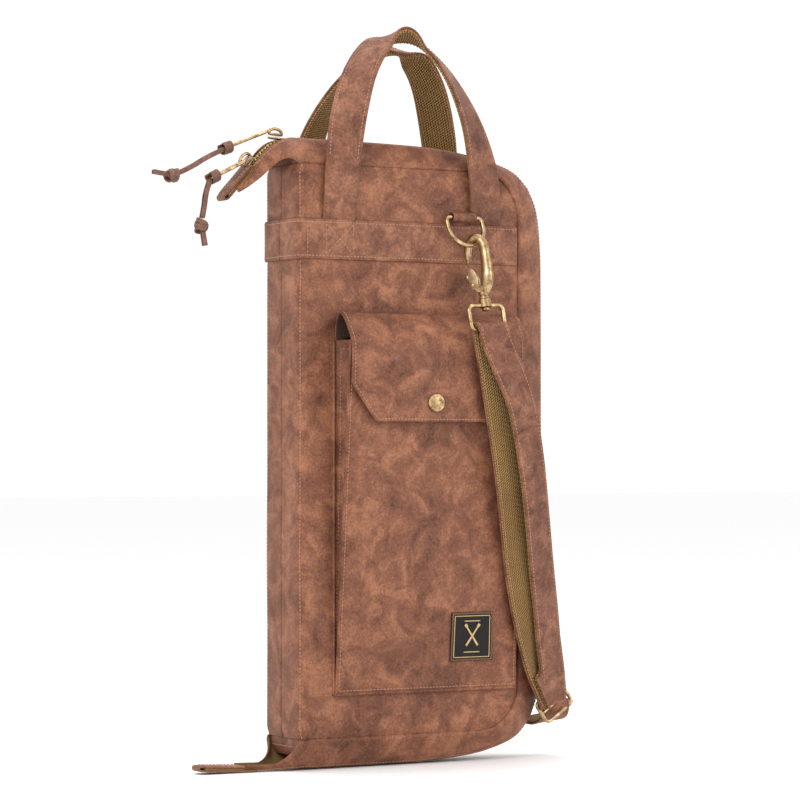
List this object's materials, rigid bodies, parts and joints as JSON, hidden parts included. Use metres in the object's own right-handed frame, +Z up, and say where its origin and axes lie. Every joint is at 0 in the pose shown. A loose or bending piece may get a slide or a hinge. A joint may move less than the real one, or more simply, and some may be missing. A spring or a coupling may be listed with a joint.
{
  "type": "drum stick bag",
  "caption": "Upright zip-round leather drum stick bag with carrying handles, a flapped front pocket with a snap, and a clip-on shoulder strap.",
  "frame": {"origin": "middle of the closed zip's lowest run, between the two halves, on the surface that the bag stands on", "axes": "+Z up along the bag's height, +X from the spine towards the opening side, -Y out of the front panel with the pocket"},
  "size_m": [0.3863, 0.1113, 0.605],
  "materials": {
    "bag_leather": "mottled brown, semi-matt, fine grain",
    "strap_leather": "mottled brown, semi-matt, fine grain",
    "webbing": "woven olive-gold cotton",
    "lining": "plain woven dark lining",
    "padding": "soft foam",
    "zip_tape": "woven tape",
    "zip_teeth": "golden coil",
    "antique_brass": "antiqued and worn bright on its edges",
    "label": "woven black with gold thread",
    "lace": "thin cut lace"
  },
  "bodies": {
    "back_half": {"back_panel": "bag_leather", "back_padding": "padding", "back_lining": "lining", "back_gusset": "bag_leather", "back_zip_tape": "zip_tape", "back_zip_teeth": "zip_teeth", "back_band": "bag_leather", "back_stick_sleeves": "lining", "back_handle_ends": "strap_leather"},
    "spine": {"spine_panel": "bag_leather", "spine_lining": "lining", "spine_band": "bag_leather", "spine_top_flap": "bag_leather", "spine_bottom_flap": "bag_leather", "top_tail_tape": "zip_tape", "top_tail_tab": "bag_leather", "bottom_tail_tape": "zip_tape", "bottom_tail_tab": "bag_leather"},
    "front_half": {"front_panel": "bag_leather", "front_padding": "padding", "front_lining": "lining", "front_gusset": "bag_leather", "front_zip_tape": "zip_tape", "front_zip_teeth": "zip_teeth", "front_band": "bag_leather", "front_stick_sleeves": "lining", "front_handle_ends": "strap_leather", "pocket_front": "bag_leather", "pocket_gusset": "bag_leather", "flap_root": "bag_leather", "snap_stud": "antique_brass", "label_patch": "label", "d_ring_tab": "strap_leather", "strap_front_lower": "strap_leather", "strap_back_lower": "strap_leather", "adjuster": "antique_brass", "strap_tail": "strap_leather"},
    "pocket_flap": {"pocket_flap": "bag_leather", "snap_button": "antique_brass"},
    "front_handle": {"front_handle": "strap_leather", "front_handle_webbing": "webbing"},
    "back_handle": {"back_handle": "strap_leather", "back_handle_webbing": "webbing"},
    "strap_hanger": {"d_ring": "antique_brass", "swivel_eye": "antique_brass", "strap_front_upper": "strap_leather", "strap_back_upper": "strap_leather"},
    "snap_hook": {"snap_hook": "antique_brass", "gate_pin": "antique_brass"},
    "hook_gate": {"hook_gate": "antique_brass"},
    "upper_slider": {"zip_slider_upper": "antique_brass"},
    "upper_pull": {"zip_pull_upper": "antique_brass", "upper_lace_front": "lace", "upper_lace_rear": "lace", "upper_knot": "lace"},
    "lower_slider": {"zip_slider_lower": "antique_brass"},
    "lower_pull": {"zip_pull_lower": "antique_brass", "lower_lace_front": "lace", "lower_lace_rear": "lace", "lower_knot": "lace"}
  },
  "joints": [
    {"name": "spine_fold_back", "type": "hinge", "parent": "back_half", "child": "spine", "pos_m": [-0.118, 0.03, 0.2575], "axis": [0, 0, -1], "range_deg": [0, 90]},
    {"name": "spine_fold_front", "type": "hinge", "parent": "spine", "child": "front_half", "pos_m": [-0.118, -0.03, 0.2575], "axis": [0, 0, -1], "range_deg": [0, 90]},
    {"name": "flap_open", "type": "hinge", "parent": "front_half", "child": "pocket_flap", "pos_m": [0, -0.0355, 0.3702], "axis": [-1, 0, 0], "range_deg": [0, 90]},
    {"name": "strap_swing", "type": "hinge", "parent": "front_half", "child": "strap_hanger", "pos_m": [0.03, -0.0382, 0.45], "axis": [-1, 0, 0], "range_deg": [0, 50]},
    {"name": "hook_swivel", "type": "hinge", "parent": "strap_hanger", "child": "snap_hook", "pos_m": [0.0383, -0.058, 0.38], "axis": [-0.0395, 0.2058, 0.9778], "range_deg": [-12, 12]},
    {"name": "gate_open", "type": "hinge", "parent": "snap_hook", "child": "hook_gate", "pos_m": [0.03425, -0.04912, 0.39321], "axis": [-0.8639, -0.4988, 0.0701], "range_deg": [-22, 0], "stiffness_Nm_per_rad": 0.02, "springref_deg": 5.73},
    {"name": "front_handle_fold", "type": "hinge", "parent": "front_half", "child": "front_handle", "pos_m": [-0.0148, -0.038, 0.4585], "axis": [1, 0, 0], "range_deg": [0, 60]},
    {"name": "back_handle_fold", "type": "hinge", "parent": "back_half", "child": "back_handle", "pos_m": [-0.0148, 0.038, 0.4585], "axis": [-1, 0, 0], "range_deg": [0, 165]},
    {"name": "upper_slider_travel", "type": "slide", "parent": "spine", "child": "upper_slider", "axis": [-0.9995, 0, 0.0332], "range_m": [-0.12, 0]},
    {"name": "upper_pull_swing", "type": "hinge", "parent": "upper_slider", "child": "upper_pull", "pos_m": [-0.1305, 0.004, 0.5135], "axis": [0, 1, 0], "range_deg": [0, 80]},
    {"name": "lower_slider_travel", "type": "slide", "parent": "spine", "child": "lower_slider", "axis": [0.6561, 0, 0.7547], "range_m": [0, 0.008]},
    {"name": "lower_pull_swing", "type": "hinge", "parent": "lower_slider", "child": "lower_pull", "pos_m": [-0.1556, -0.004, 0.4898], "axis": [0, 1, 0], "range_deg": [0, 90]}
  ],
  "couplings": [
    {"joint": "spine_fold_front", "follows": "spine_fold_back", "ratio": 1},
    {"joint": "strap_swing", "follows": "flap_open", "ratio": 0.55},
    {"joint": "upper_pull_swing", "follows": "upper_slider_travel", "rad_per_m": -11.6}
  ]
}
